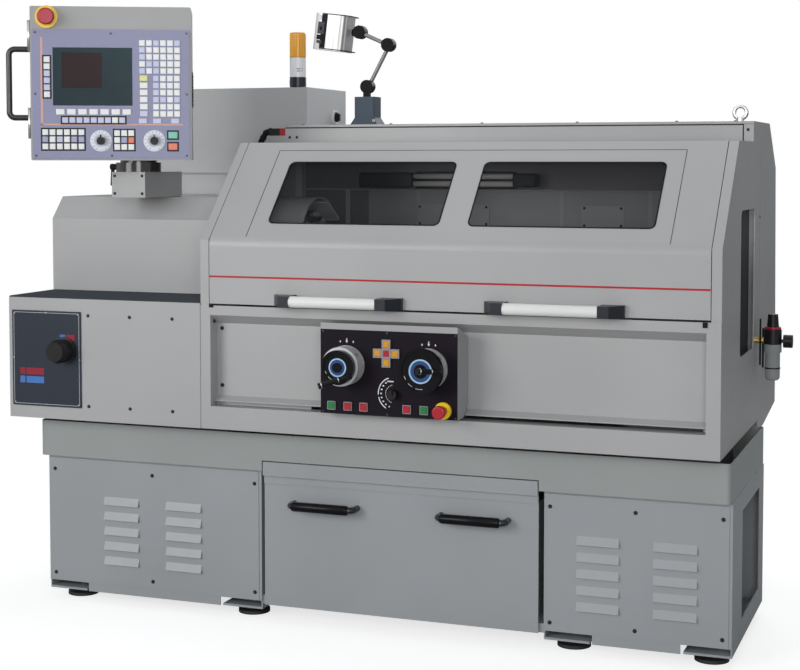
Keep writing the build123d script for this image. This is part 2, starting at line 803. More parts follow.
# Guard ends: the left frame round the spindle nose and the right end panel with its window
guard_outline = (
    (depth(guard_front), guard_bottom_z),
    (depth(guard_front), guard_bend_z),
    (depth(guard_slope_top), guard_roof_z),
    (depth(top_box_front), guard_roof_z),
    (depth(rear_wall_front), guard_roof_z),
    (depth(rear_wall_front), guard_bottom_z),
)
hinge_y = depth(hinge_line)
hinge_z = guard_roof_z - hinge_drop
slope_angle = atan2(guard_roof_z - guard_bend_z, guard_slope_top - guard_front)
frame_cut = guard_frame_width + sheet
with BuildPart() as guard_ends:
    for end_x, wall_x in ((guard_left_x, guard_left_x),
                          (guard_right_x - guard_frame_width, guard_right_x - sheet)):
        with BuildSketch(side_plane(end_x)) as end_outline:
            with BuildLine():
                Polyline(*guard_outline, close=True)
            make_face()
        extrude(amount=guard_frame_width)
        inside_x = end_x + sheet if end_x == wall_x else end_x - overrun
        with BuildSketch(side_plane(inside_x)):
            with BuildLine():
                Polyline(*guard_outline, close=True)
            make_face()
            offset(amount=-frame_cut, kind=Kind.INTERSECTION, mode=Mode.REPLACE)
        extrude(amount=guard_frame_width - sheet + (0 if end_x == wall_x else overrun), mode=Mode.SUBTRACT)
    with Locations(Plane(origin=(guard_left_x, spindle_y, spindle_z), z_dir=(1, 0, 0))):
        Cylinder(nose_hole_radius, 3 * guard_frame_width, mode=Mode.SUBTRACT)
    with Locations(Plane(origin=(guard_left_x, guard_pin_y, guard_pin_z), z_dir=(1, 0, 0))):
        Cylinder(2 * guard_pin_radius, guard_frame_width, align=(Align.CENTER, Align.CENTER, Align.MIN))
        Cylinder(guard_pin_radius + shaft_gap, 3 * guard_frame_width, mode=Mode.SUBTRACT)
    for inner_x in (guard_left_x + guard_frame_width, guard_right_x - guard_frame_width):
        with Locations(Plane(origin=(inner_x, hinge_y, hinge_z), z_dir=(1, 0, 0))):
            Cylinder(hinge_pin_radius + shaft_gap, 2 * hinge_pin_length, mode=Mode.SUBTRACT)
    block((guard_left_x - overrun, guard_left_x + 2 * guard_frame_width),
          (bed_span_y[0] - frame_cut, bed_span_y[1] + frame_cut), (guard_bottom_z - overrun, way_z + frame_cut),
          mode=Mode.SUBTRACT)
    with BuildSketch(side_plane(guard_right_x - guard_frame_width)):
        with Locations((depth(middle((end_window_front, end_window_back))),
                        middle((end_window_bottom_z, end_window_top_z)))):
            RectangleRounded(end_window_back - end_window_front, end_window_top_z - end_window_bottom_z,
                             end_window_corner)
    extrude(amount=2 * guard_frame_width, mode=Mode.SUBTRACT)
write(guard_ends, "guard_ends")

# Front apron under the door: a folded panel with a long recess and a slot for the carriage bracket
apron_back_y = depth(guard_front)
apron_front_y = apron_back_y - sheet
recess_back_y = apron_front_y + recess_depth
with BuildPart() as front_apron:
    with BuildSketch(side_plane(recess_left_x)):
        with BuildLine():
            Polyline((apron_front_y, apron_top_z), (apron_front_y, apron_rail_bottom_z),
                     (recess_back_y - sheet, recess_top_z), (recess_back_y - sheet, recess_bottom_z),
                     (apron_front_y + flange_setback, flange_z),
                     (apron_front_y + flange_setback, flange_z - sheet),
                     (recess_back_y, recess_bottom_z - sheet), (recess_back_y, recess_top_z + sheet),
                     (apron_back_y, apron_rail_bottom_z + sheet), (apron_back_y, apron_top_z), close=True)
        make_face()
        with BuildLine():
            Polyline((apron_front_y, guard_bottom_z), (apron_front_y, apron_lip_z),
                     (recess_back_y, apron_lip_z), (recess_back_y, apron_lip_z - sheet),
                     (apron_back_y, apron_lip_z - sheet), (apron_back_y, guard_bottom_z), close=True)
        make_face()
    extrude(amount=recess_right_x - recess_left_x)
    for strip in ((guard_left_x, recess_left_x), (recess_right_x, guard_right_x)):
        block(strip, (apron_front_y, apron_back_y), (guard_bottom_z, apron_top_z))
    for cheek_x in (recess_left_x, recess_right_x - sheet):
        block((cheek_x, cheek_x + sheet), (apron_front_y, recess_back_y),
              (apron_lip_z - sheet, apron_rail_bottom_z))
    for closed in ((recess_left_x, slot_left_x), (slot_right_x, recess_right_x)):
        block(closed, (recess_back_y - sheet, recess_back_y), (apron_lip_z, recess_bottom_z))
write(front_apron, "front_apron")

# Rear guard with the top box, and the interlock switch on its left end
with BuildPart() as rear_guard:
    with BuildSketch(side_plane(cabinet_right_x)):
        with BuildLine():
            Polyline((depth(top_box_front), guard_roof_z), (depth(top_box_front), top_box_z),
                     (depth(top_box_back), top_box_z), (depth(rear_break), rear_break_z),
                     (depth(rear_back), rear_low_z), (depth(rear_back), guard_bottom_z),
                     (depth(rear_foot), rear_foot_z), (depth(rear_wall_front), rear_foot_z),
                     (depth(rear_wall_front), guard_roof_z), close=True)
        make_face()
    extrude(amount=guard_right_x - cabinet_right_x)
    offset(amount=-sheet, openings=rear_guard.faces().filter_by(Axis.Z).sort_by(Axis.Z)[0])
    block((interlock_left_x, cabinet_right_x), (depth(top_box_front), depth(top_box_front + interlock_depth)),
          (guard_roof_z, guard_roof_z + interlock_height))
write(rear_guard, "rear_guard")

# Lift-up door: one folded sheet with a hinge barrel along its back edge
door_span_x = (guard_left_x + guard_frame_width + door_gap, guard_right_x - guard_frame_width - door_gap)
door_width = door_span_x[1] - door_span_x[0]
roof_inset = sheet * (1 - cos(slope_angle)) / sin(slope_angle)
bend_inset = sheet * (1 - sin(slope_angle)) / cos(slope_angle)
slope_plane = Plane(origin=(0, depth(guard_front), guard_bend_z), x_dir=(1, 0, 0),
                    z_dir=(0, -sin(slope_angle), cos(slope_angle)))
window_span = (door_slope_length * window_low_share, door_slope_length * window_high_share)
with BuildPart() as door_panel:
    with BuildSketch(side_plane(door_span_x[0])) as door_outline:
        with BuildLine():
            Polyline((depth(guard_front), door_bottom_z), (depth(guard_front), guard_bend_z),
                     (depth(guard_slope_top), guard_roof_z), (hinge_y, guard_roof_z),
                     (hinge_y, guard_roof_z - sheet), (depth(guard_slope_top) + roof_inset, guard_roof_z - sheet),
                     (depth(guard_front) + sheet, guard_bend_z - bend_inset),
                     (depth(guard_front) + sheet, door_bottom_z), close=True)
        make_face()
        outer_bend = door_outline.vertices().sort_by_distance((depth(guard_front), guard_bend_z))[0]
        fillet(outer_bend, door_bend_radius)
        inner_corner = (depth(guard_front) + sheet, guard_bend_z - bend_inset)
        inner_bend = door_outline.vertices().sort_by_distance(inner_corner)[0]
        fillet(inner_bend, door_bend_radius - sheet)
    extrude(amount=door_width)
    for side_x in (door_span_x[0], door_span_x[1] - sheet):
        block((side_x, side_x + sheet), (depth(guard_front), depth(guard_front) + door_return),
              (door_bottom_z, guard_bend_z - door_return))
    with Locations(Plane(origin=(door_span_x[0], hinge_y, hinge_z), z_dir=(1, 0, 0))):
        Cylinder(door_hinge_radius, door_width, align=(Align.CENTER, Align.CENTER, Align.MIN))
    block(door_span_x, around(hinge_y, sheet), (hinge_z, guard_roof_z - sheet))
    with Locations(Plane(origin=(door_span_x[0] - hinge_pin_length, hinge_y, hinge_z), z_dir=(1, 0, 0))):
        Cylinder(hinge_pin_radius, door_width + 2 * hinge_pin_length,
                 align=(Align.CENTER, Align.CENTER, Align.MIN))
    with BuildSketch(slope_plane.offset(overrun)):
        with Locations(*[(x, middle(window_span)) for x in window_xs]):
            RectangleRounded(window_width, window_span[1] - window_span[0], window_corner)
    extrude(amount=-3 * overrun, mode=Mode.SUBTRACT)
write(door_panel, "door_panel")

# Window panes, held against the inside of the door
with BuildPart() as door_windows:
    with BuildSketch(slope_plane.offset(-sheet)):
        with Locations(*[(x, middle(window_span)) for x in window_xs]):
            RectangleRounded(window_width + 2 * pane_margin, window_span[1] - window_span[0] + 2 * pane_margin,
                             window_corner)
    extrude(amount=-pane_thickness)
write(door_windows, "door_windows")

# Door handles: a tube between two brackets
handle_root_y = depth(guard_front)
handle_tube_y = handle_root_y - door_handle_standoff
with BuildPart() as door_handles:
    for handle_x in door_handle_xs:
        with Locations(Plane(origin=(handle_x, handle_tube_y, door_handle_z), z_dir=(1, 0, 0))):
            Cylinder(door_handle_tube_radius, door_handle_tube_length)
        for end in (-1, 1):
            inner_x = handle_x + end * door_handle_tube_length / 2
            outer_x = handle_x + end * door_handle_length / 2
            arm_span = (min(inner_x, outer_x), max(inner_x, outer_x))
            with BuildSketch(Plane(origin=(0, 0, door_handle_z - door_handle_bracket / 2))):
                with BuildLine():
                    Polyline((inner_x, handle_tube_y - door_handle_tube_radius),
                             (inner_x, handle_tube_y + door_handle_tube_radius),
                             (inner_x, handle_root_y), (outer_x, handle_root_y),
                             (outer_x, handle_root_y - door_handle_tube_radius),
                             (middle(arm_span), handle_tube_y - door_handle_tube_radius), close=True)
                make_face()
            extrude(amount=door_handle_bracket)
write(door_handles, "door_handles")


def along_x(x, y, z):
    """Plane for turned pieces whose axis runs along the spindle."""
    return Plane(origin=(x, y, z), x_dir=(0, 1, 0), z_dir=(1, 0, 0))


def towards_operator(x, y, z):
    """Plane for pieces that stand out of a front face."""
    return Plane(origin=(x, y, z), x_dir=(1, 0, 0), z_dir=(0, -1, 0))


from_base = (Align.CENTER, Align.CENTER, Align.MIN)

# Carriage: saddle on the ways, apron casting in front and the bracket that holds the operator box
carriage_span = around(carriage_x, carriage_length)
saddle_top_z = way_z + saddle_height
with BuildPart() as carriage:
    block(carriage_span, (depth(carriage_front), depth(carriage_back)), (way_z, saddle_top_z))
    block(carriage_span, (depth(carriage_front), depth(carriage_front + apron_casting_width)), (bracket_z, way_z))
    block(carriage_span, (depth(bracket_front), depth(carriage_front)),
          (bracket_z, bracket_z + bracket_thickness))
    with BuildSketch(side_plane(carriage_span[0] - overrun)):
        with BuildLine():
            Polyline((vee_y - vee_width / 2 - vee_height, way_z - overrun),
                     (vee_y + vee_width / 2 + vee_height, way_z - overrun),
                     (vee_y, way_z + vee_height + overrun), close=True)
        make_face()
    extrude(amount=carriage_length + 2 * overrun, mode=Mode.SUBTRACT)
    with BuildSketch(front_plane(depth(carriage_front))):
        with BuildLine():
            Polyline((carriage_x - dovetail_width / 2 + dovetail_inset, saddle_top_z),
                     (carriage_x + dovetail_width / 2 - dovetail_inset, saddle_top_z),
                     (carriage_x + dovetail_width / 2, saddle_top_z + dovetail_height),
                     (carriage_x - dovetail_width / 2, saddle_top_z + dovetail_height), close=True)
        make_face()
    extrude(amount=-(carriage_back - carriage_front))
write(carriage, "carriage")

# Cross slide on the dovetail, with the turret's base
cross_span_y = (depth(cross_slide_front), depth(cross_slide_front + cross_slide_length))
cross_top_z = saddle_top_z + cross_slide_height
turret_y = depth(cross_slide_front + turret_setback)
groove_gap = running_gap
with BuildPart() as cross_slide:
    block(around(carriage_x, cross_slide_width), cross_span_y, (saddle_top_z, cross_top_z))
    with BuildSketch(front_plane(cross_span_y[0] - overrun)):
        with BuildLine():
            Polyline((carriage_x - dovetail_width / 2 + dovetail_inset - 2 * groove_gap, saddle_top_z),
                     (carriage_x + dovetail_width / 2 - dovetail_inset + 2 * groove_gap, saddle_top_z),
                     (carriage_x + dovetail_width / 2 + 2 * groove_gap, saddle_top_z + dovetail_height + groove_gap),
                     (carriage_x - dovetail_width / 2 - 2 * groove_gap, saddle_top_z + dovetail_height + groove_gap),
                     close=True)
        make_face()
    extrude(amount=-(cross_slide_length + 2 * overrun), mode=Mode.SUBTRACT)
    with Locations((carriage_x, turret_y, cross_top_z)):
        Cylinder(turret_base_radius, turret_base_height, align=from_base)
write(cross_slide, "cross_slide")

# Four-station tool turret with its tools
turret_bottom_z = cross_top_z + turret_base_height
with BuildPart() as tool_turret:
    with Locations((carriage_x, turret_y, turret_bottom_z)):
        Box(turret_size, turret_size, turret_height, align=from_base)
    chamfer(tool_turret.edges().filter_by(Axis.Z), length=overrun)
    with Locations(Plane(origin=(carriage_x, turret_y, spindle_z))):
        with PolarLocations(turret_size / 2, tool_count):
            with Locations((0, turret_size / 2 - tool_width, 0)):
                Box(tool_reach, tool_width, tool_width, align=(Align.MIN, Align.CENTER, Align.MAX))
write(tool_turret, "tool_turret")

# Operator box with its button holes, dials and the collar of the stop button
box_front_y = depth(box_front)
jog_places = [(jog_centre[0] + column * jog_pitch, jog_centre[1] + row * jog_pitch)
              for column, row in ((0, 1), (-1, 0), (1, 0), (0, -1), (0, 0))]
jog_names = ("jog_up", "jog_left", "jog_right", "jog_down", "jog_rapid")
button_places = [(x, button_z) for x in button_xs]
dial_front_y = box_front_y - dial_length
with BuildPart() as operator_box:
    with BuildSketch(side_plane(box_left_x)):
        with BuildLine():
            Polyline((box_front_y, box_bottom_z), (box_front_y, box_top_z), (depth(box_slope), box_top_z),
                     (depth(box_back), box_back_z), (depth(box_back), box_back_low_z),
                     (depth(box_low_slope), box_bottom_z), close=True)
        make_face()
    extrude(amount=box_right_x - box_left_x)
    offset(amount=-sheet, openings=operator_box.faces().sort_by(Axis.Y)[-1])
    for (wheel_centre_x, wheel_centre_z), dial_radius in zip(wheel_centres, dial_radii):
        with Locations(towards_operator(wheel_centre_x, box_front_y, wheel_centre_z)):
            Cylinder(dial_radius, dial_length, align=from_base)
            Cylinder(wheel_shaft_radius + shaft_gap, 3 * dial_length, mode=Mode.SUBTRACT)
    with BuildSketch(front_plane(box_front_y - overrun)):
        with Locations(*jog_places):
            Rectangle(jog_size + 2 * running_gap, jog_size + 2 * running_gap)
        with Locations(*button_places):
            Rectangle(button_size + 2 * running_gap, button_size + 2 * running_gap)
    extrude(amount=-4 * overrun, mode=Mode.SUBTRACT)
    with Locations(towards_operator(override_centre[0], box_front_y, override_centre[1])):
        Cylinder(wheel_shaft_radius + shaft_gap, 4 * overrun, mode=Mode.SUBTRACT)
    with Locations(towards_operator(stop_centre[0], box_front_y, stop_centre[1])):
        Cylinder(collar_radius, collar_length, align=from_base)
        Cylinder(stop_neck_radius + running_gap, 3 * collar_length, mode=Mode.SUBTRACT)
write(operator_box, "operator_box")

# Square push buttons and jog buttons
for name, (centre_x, centre_z) in zip(jog_names, jog_places):
    with BuildPart() as jog_button:
        block(around(centre_x, jog_size), (box_front_y - button_proud, box_front_y - button_proud + button_depth),
              around(centre_z, jog_size))
        chamfer(jog_button.faces().sort_by(Axis.Y)[0].edges(), length=running_gap * 4)
    write(jog_button, name)
for name, (centre_x, centre_z) in zip(button_names, button_places):
    with BuildPart() as push_button:
        block(around(centre_x, button_size), (box_front_y - button_proud, box_front_y - button_proud + button_depth),
              around(centre_z, button_size))
        chamfer(push_button.faces().sort_by(Axis.Y)[0].edges(), length=running_gap * 4)
    write(push_button, name)

# Handwheels with folding crank grips, each half raised
wheel_front_y = dial_front_y - running_gap - wheel_thickness
for index, (name, (centre_x, centre_z), radius) in enumerate(zip(wheel_names, wheel_centres, wheel_radii)):
    turn = radians(grip_angles[index])
    with BuildPart() as handwheel:
        with Locations(towards_operator(centre_x, dial_front_y - running_gap, centre_z)):
            Cylinder(radius, wheel_thickness, align=from_base)
        with Locations(towards_operator(centre_x, wheel_front_y, centre_z)):
            Cylinder(radius - wheel_rim, wheel_rim, mode=Mode.SUBTRACT)
        with Locations(towards_operator(centre_x, dial_front_y - running_gap, centre_z)):
            Cylinder(wheel_hub_radius, wheel_hub_length, align=from_base)
            Cylinder(wheel_shaft_radius, dial_length - overrun, align=(Align.CENTER, Align.CENTER, Align.MAX))
        grip_x = centre_x + radius * grip_share * cos(turn)
        grip_z = centre_z + radius * grip_share * sin(turn)
        with Locations(towards_operator(grip_x, wheel_front_y, grip_z)):
            Cylinder(grip_boss_radius, 2 * wheel_rim)
        with Locations(Plane(origin=(grip_x, wheel_front_y, grip_z), z_dir=grip_leans[index])):
            Cone(grip_radius * 3 / 4, grip_radius, grip_lengths[index], align=from_base)
    write(handwheel, name)

# Feed override knob and the stop button of the operator box
with BuildPart() as override_knob:
    with Locations(towards_operator(override_centre[0], box_front_y - running_gap, override_centre[1])):
        Cylinder(override_radius, override_length, align=from_base)
        Cylinder(wheel_shaft_radius, 2 * overrun, align=(Align.CENTER, Align.CENTER, Align.MAX))
    with Locations((override_centre[0], box_front_y - override_length,
                    override_centre[1] + override_radius / 2)):
        Box(override_radius / 3, override_radius / 2, override_radius,
            align=(Align.CENTER, Align.MAX, Align.CENTER))
write(override_knob, "override_knob")


def mushroom(plane, neck_radius, neck, cap_radius, cap):
    """A mushroom-headed stop button that stands out of a plane."""
    with BuildPart() as button:
        with Locations(plane):
            Cylinder(neck_radius, neck + 2 * overrun, align=from_base)
        with Locations(plane.offset(2 * overrun + neck)):
            Cylinder(cap_radius, cap, align=from_base)
        fillet(button.edges().filter_by(GeomType.CIRCLE).sort_by(SortBy.RADIUS)[-2:], radius=cap / 3)
    return button


panel_estop = mushroom(towards_operator(stop_centre[0], box_front_y + overrun, stop_centre[1]),
                       stop_neck_radius, panel_stop_neck, panel_stop_radius, stop_cap)
write(panel_estop, "panel_estop")

# Tailstock body on the ways
tail_span = (tailstock_x, tailstock_x + tailstock_length)
tail_top_z = way_z + tail_base_height
tail_wall_x = tail_span[1] - tail_base_height
with BuildPart() as tailstock_body:
    block(tail_span, bed_span_y, (way_z, tail_top_z))
    with BuildSketch(side_plane(tail_span[0])):
        with BuildLine():
            Polyline((spindle_y - tailstock_width / 2, tail_top_z), (spindle_y + tailstock_width / 2, tail_top_z),
                     (spindle_y + tailstock_barrel_radius, spindle_z),
                     (spindle_y - tailstock_barrel_radius, spindle_z), close=True)
        make_face()
        with Locations((spindle_y, spindle_z)):
            Circle(tailstock_barrel_radius)
    extrude(amount=tailstock_length)
    with Locations(along_x(tail_span[0], spindle_y, spindle_z)):
        Cylinder(quill_radius + shaft_gap, tail_wall_x - tail_span[0], align=from_base, mode=Mode.SUBTRACT)
        Cylinder(tail_lever_radius + shaft_gap, 3 * tailstock_length, mode=Mode.SUBTRACT)
    with BuildSketch(side_plane(tail_span[0] - overrun)):
        with BuildLine():
            Polyline((vee_y - vee_width / 2 - vee_height, way_z - overrun),
                     (vee_y + vee_width / 2 + vee_height, way_z - overrun),
                     (vee_y, way_z + vee_height + overrun), close=True)
        make_face()
    extrude(amount=tailstock_length + 2 * overrun, mode=Mode.SUBTRACT)
    with Locations((middle(tail_span), spindle_y, spindle_z + tailstock_barrel_radius)):
        Cylinder(tail_lever_radius + shaft_gap, tailstock_barrel_radius, mode=Mode.SUBTRACT)
write(tailstock_body, "tailstock_body")

# Tailstock quill with its centre
with BuildPart() as tailstock_quill:
    with Locations(along_x(tail_span[0] - quill_reach, spindle_y, spindle_z)):
        Cylinder(quill_radius, quill_reach + tail_wall_x - tail_span[0] - overrun, align=from_base)
        Cone(quill_radius * 3 / 5, 0, centre_length, align=(Align.CENTER, Align.CENTER, Align.MAX),
             rotation=(180, 0, 0))
write(tailstock_quill, "tailstock_quill")

# Tailstock handwheel on its screw end
tail_wheel_x = tail_span[1] + tail_wheel_gap
with BuildPart() as tailstock_handwheel:
    with Locations(along_x(tail_wheel_x, spindle_y, spindle_z)):
        Cylinder(tail_wheel_radius, tail_wheel_thickness, align=from_base)
        Cylinder(tail_lever_hub, 2 * tail_wheel_thickness, align=from_base)
        with PolarLocations(tail_wheel_radius * 3 / 5, jaw_count):
            Cylinder(tail_lever_hub, 4 * tail_wheel_thickness, mode=Mode.SUBTRACT)
        Cylinder(tail_lever_radius, tail_base_height - overrun, align=(Align.CENTER, Align.CENTER, Align.MAX))
    with Locations(along_x(tail_wheel_x + tail_wheel_thickness, spindle_y + tail_wheel_radius * 4 / 5,
                           spindle_z)):
        Cone(grip_radius * 3 / 4, grip_radius, tail_grip_length, align=from_base)
write(tailstock_handwheel, "tailstock_handwheel")

# Quill clamp lever on top of the tailstock
lever_base_z = spindle_z + tailstock_barrel_radius + running_gap
with BuildPart() as tailstock_lever:
    with Locations((middle(tail_span), spindle_y, lever_base_z)):
        Cylinder(tail_lever_hub, tail_lever_hub, align=from_base)
        Cylinder(tail_lever_radius, tailstock_barrel_radius / 3, align=(Align.CENTER, Align.CENTER, Align.MAX))
    with Locations(Plane(origin=(middle(tail_span), spindle_y, lever_base_z + tail_lever_hub / 2),
                         x_dir=(1, 0, 0), z_dir=(0, -1, 0))):
        Cylinder(tail_lever_radius * 2 / 3, tail_lever_length, align=from_base)
    with Locations((middle(tail_span), spindle_y - tail_lever_length, lever_base_z + tail_lever_hub / 2)):
        Sphere(tail_lever_hub * 3 / 4)
write(tailstock_lever, "tailstock_lever")

# Pendant arm on the headstock hood, with the swivel ring
ring_top_z = ring_bottom_z + ring_height
with BuildPart() as pendant_arm:
    block(around(swivel_x, arm_width), (depth(arm_front), depth(arm_front + arm_depth)), (arm_bottom_z, arm_top_z))
    block(around(swivel_x, arm_width - 2 * overrun),
          (depth(upper_cover_front + upper_cover_slope_run), depth(arm_front + arm_depth)),
          (upper_cover_top_z, arm_bottom_z))
    with Locations((swivel_x, swivel_y, arm_top_z)):
        Cylinder(ring_radius, ring_top_z - arm_top_z, align=from_base)
        Cylinder(ring_radius - 2 * overrun, pendant_bottom_z - arm_top_z, align=from_base)
        Cylinder(swivel_pin_radius, pendant_bottom_z - arm_top_z + swivel_pin_length - running_gap,
                 align=from_base)
    with Locations(Plane(origin=(swivel_x - ring_radius, swivel_y, middle((ring_bottom_z, ring_top_z))),
                         z_dir=(1, 0, 0))):
        Cylinder(lever_radius + shaft_gap, 2 * lever_hub_radius, mode=Mode.SUBTRACT)
write(pendant_arm, "pendant_arm")

# Clamp lever of the swivel ring
clamp_x = swivel_x - ring_radius
clamp_z = middle((ring_bottom_z, ring_top_z))
with BuildPart() as pendant_clamp_lever:
    with Locations(Plane(origin=(clamp_x - lever_reach, swivel_y, clamp_z), z_dir=(1, 0, 0))):
        Cylinder(lever_hub_radius, lever_reach - running_gap * 4, align=from_base)
        Cylinder(lever_radius, lever_reach + lever_hub_radius / 2, align=from_base)
    with Locations(Plane(origin=(clamp_x - lever_reach + lever_radius, swivel_y, clamp_z), z_dir=(0, 0, -1))):
        Cone(lever_radius, lever_radius * 3 / 2, lever_drop, align=from_base)
write(pendant_clamp_lever, "pendant_clamp_lever")

# Pendant case, turned on the swivel; its own sketch axes are across the face and up
turn_cos = cos(radians(pendant_turn))
turn_sin = sin(radians(pendant_turn))


def pendant_point(across, up, out):
    """A point given across the pendant's face, up from its bottom edge and out of the face."""
    reach = pendant_face + out
    shift = pendant_shift + across
    return (swivel_x + shift * turn_cos + reach * turn_sin,
            swivel_y + shift * turn_sin - reach * turn_cos,
            pendant_bottom_z + up)


def pendant_plane(across, up, out):
    """Plane parallel to the pendant's face, through a point given in the pendant's own directions."""
    return Plane(origin=pendant_point(across, up, out), x_dir=(turn_cos, turn_sin, 0),
                 z_dir=(turn_sin, -turn_cos, 0))


stop_across = pendant_stop_edge - pendant_width / 2
stop_up = pendant_height - pendant_stop_drop
handle_low = pendant_handle_low
handle_high = pendant_handle_low + pendant_handle_length
handle_depth = -pendant_handle_out / 2
with BuildPart() as pendant_case:
    with BuildSketch(pendant_plane(0, pendant_height / 2, 0)):
        RectangleRounded(pendant_width, pendant_height, pendant_edge)
    extrude(amount=-pendant_depth)
    with BuildSketch(pendant_plane(0, panel_lift + panel_height / 2, 0)):
        Rectangle(panel_width - 4 * overrun, panel_height - 4 * overrun)
    extrude(amount=sheet - pendant_depth, mode=Mode.SUBTRACT)
    with Locations((swivel_x, swivel_y, pendant_bottom_z)):
        Cylinder(swivel_pin_radius + shaft_gap, 2 * swivel_pin_length, mode=Mode.SUBTRACT)
    with Locations(pendant_plane(stop_across, stop_up, 0)):
        Cylinder(pendant_collar_radius, collar_length, align=from_base)
        Cylinder(stop_neck_radius + running_gap, 4 * overrun, mode=Mode.SUBTRACT)
    with BuildLine() as handle_path:
        FilletPolyline(pendant_point(-pendant_width / 2, handle_low, handle_depth),
                       pendant_point(-pendant_width / 2 - pendant_handle_out, handle_low, handle_depth),
                       pendant_point(-pendant_width / 2 - pendant_handle_out, handle_high, handle_depth),
                       pendant_point(-pendant_width / 2, handle_high, handle_depth),
                       radius=pendant_handle_bar)
    with BuildSketch(Plane(origin=pendant_point(-pendant_width / 2, handle_low, handle_depth),
                           z_dir=(-turn_cos, -turn_sin, 0))):
        Circle(pendant_handle_bar / 2)
    sweep(path=handle_path.wires()[0])
write(pendant_case, "pendant_case")

# Pendant panel with its screen recess and keys
# Each block of keys: columns, rows, then shares of the panel's width or height for the first key's
# place, the pitch and the key's size.
key_block_shares = (
    (6, 5, 0.698, 0.103, 0.0447, 0.0540, 0.035, 0.042),
    (1, 6, 0.707, 0.376, 0.0447, 0.0550, 0.048, 0.042),
    (4, 6, 0.785, 0.377, 0.0447, 0.0550, 0.035, 0.042),
    (1, 1, 0.700, 0.708, 0.0447, 0.0550, 0.050, 0.038),
    (1, 1, 0.791, 0.708, 0.0447, 0.0550, 0.050, 0.038),
    (1, 1, 0.907, 0.708, 0.0447, 0.0550, 0.050, 0.038),
    (1, 6, 0.094, 0.234, 0.0447, 0.0540, 0.037, 0.043),
    (7, 1, 0.177, 0.638, 0.0702, 0.0540, 0.052, 0.042),
    (9, 1, 0.207, 0.702, 0.0451, 0.0540, 0.036, 0.042),
    (6, 3, 0.080, 0.796, 0.0456, 0.0550, 0.035, 0.043),
    (3, 3, 0.535, 0.802, 0.0447, 0.0540, 0.035, 0.043),
    (1, 1, 0.891, 0.817, 0.0447, 0.0540, 0.056, 0.050),
    (1, 1, 0.891, 0.907, 0.0447, 0.0540, 0.056, 0.050),
)
panel_top = panel_lift + panel_height
with BuildPart() as pendant_panel:
    with BuildSketch(pendant_plane(0, panel_lift + panel_height / 2, 0)):
        Rectangle(panel_width, panel_height)
    extrude(amount=panel_thickness)
    with BuildSketch(pendant_plane(0, 0, panel_thickness)):
        for columns, rows, first_x, first_y, pitch_x, pitch_y, size_x, size_y in key_block_shares:
            for column in range(columns):
                for row in range(rows):
                    key_x = (first_x + column * pitch_x - 1 / 2) * panel_width
                    key_y = panel_top - (first_y + row * pitch_y) * panel_height
                    with Locations((key_x, key_y)):
                        Rectangle(size_x * panel_width, size_y * panel_height)
    extrude(amount=key_height)
    with BuildSketch(pendant_plane(0, 0, panel_thickness)):
        with Locations((screen_left - panel_width / 2 + screen_width / 2,
                        panel_top - screen_top - screen_height / 2)):
            RectangleRounded(screen_width, screen_height, screen_recess)
    extrude(amount=-screen_recess, mode=Mode.SUBTRACT)
    for knob_x in pendant_knob_xs:
        with Locations(pendant_plane(knob_x, panel_top - panel_height * pendant_knob_share, 0)):
            Cylinder(wheel_shaft_radius + shaft_gap, 4 * panel_thickness, mode=Mode.SUBTRACT)
write(pendant_panel, "pendant_panel")

# Rotary knobs and stop button of the pendant
for name, knob_x in zip(("pendant_knob_left", "pendant_knob_right"), pendant_knob_xs):
    with BuildPart() as pendant_knob:
        with Locations(pendant_plane(knob_x, panel_top - panel_height * pendant_knob_share, panel_thickness + running_gap)):
            Cylinder(pendant_knob_radius, pendant_knob_length, align=from_base)
            Cylinder(wheel_shaft_radius, panel_thickness / 2, align=(Align.CENTER, Align.CENTER, Align.MAX))
            with Locations((0, pendant_knob_radius / 2, pendant_knob_length)):
                Box(pendant_knob_radius / 3, 2 * pendant_knob_radius, pendant_knob_radius / 2)
    write(pendant_knob, name)
pendant_estop = mushroom(pendant_plane(stop_across, stop_up, -overrun), stop_neck_radius, stop_neck,
                         pendant_stop_radius, stop_cap)
write(pendant_estop, "pendant_estop")

# Electrical cabinet behind the headstock: the head stands forward over the body
cabinet_span_x = (cabinet_left_x, cabinet_right_x)
with BuildPart() as electrical_cabinet:
    block(cabinet_span_x, (depth(cabinet_front), depth(cabinet_back)), (cabinet_head_z, cabinet_top_z))
    block(cabinet_span_x, (depth(upper_cover_back), depth(cabinet_back)), (cabinet_bottom_z, cabinet_head_z))
    fillet(electrical_cabinet.edges().filter_by(Axis.Z).group_by(Axis.X)[0], radius=cabinet_edge)
    for front, floor_z in ((cabinet_front, cabinet_head_z + 2 * sheet), (upper_cover_back, cabinet_bottom_z - overrun)):
        block((cabinet_left_x + 2 * sheet, cabinet_right_x - 2 * sheet),
              (depth(front) + 2 * sheet, depth(cabinet_back) - 2 * sheet), (floor_z, cabinet_top_z - 2 * sheet),
              mode=Mode.SUBTRACT)
    with Locations(along_x(cabinet_right_x, depth(switch_setback), switch_z)):
        Cylinder(switch_radius, switch_collar, align=from_base)
        Cylinder(wheel_shaft_radius + shaft_gap, 4 * switch_collar, mode=Mode.SUBTRACT)
write(electrical_cabinet, "electrical_cabinet")

# Main switch on the cabinet's side
with BuildPart() as main_switch:
    with Locations(along_x(cabinet_right_x + switch_collar + running_gap, depth(switch_setback), switch_z)):
        Cylinder(switch_radius * 2 / 3, switch_knob / 2, align=from_base)
        Cylinder(wheel_shaft_radius, 2 * switch_collar, align=(Align.CENTER, Align.CENTER, Align.MAX))
        with Locations((0, 0, switch_knob / 2)):
            Box(switch_bar, switch_radius, switch_knob, align=(Align.CENTER, Align.CENTER, Align.CENTER))
write(main_switch, "main_switch")

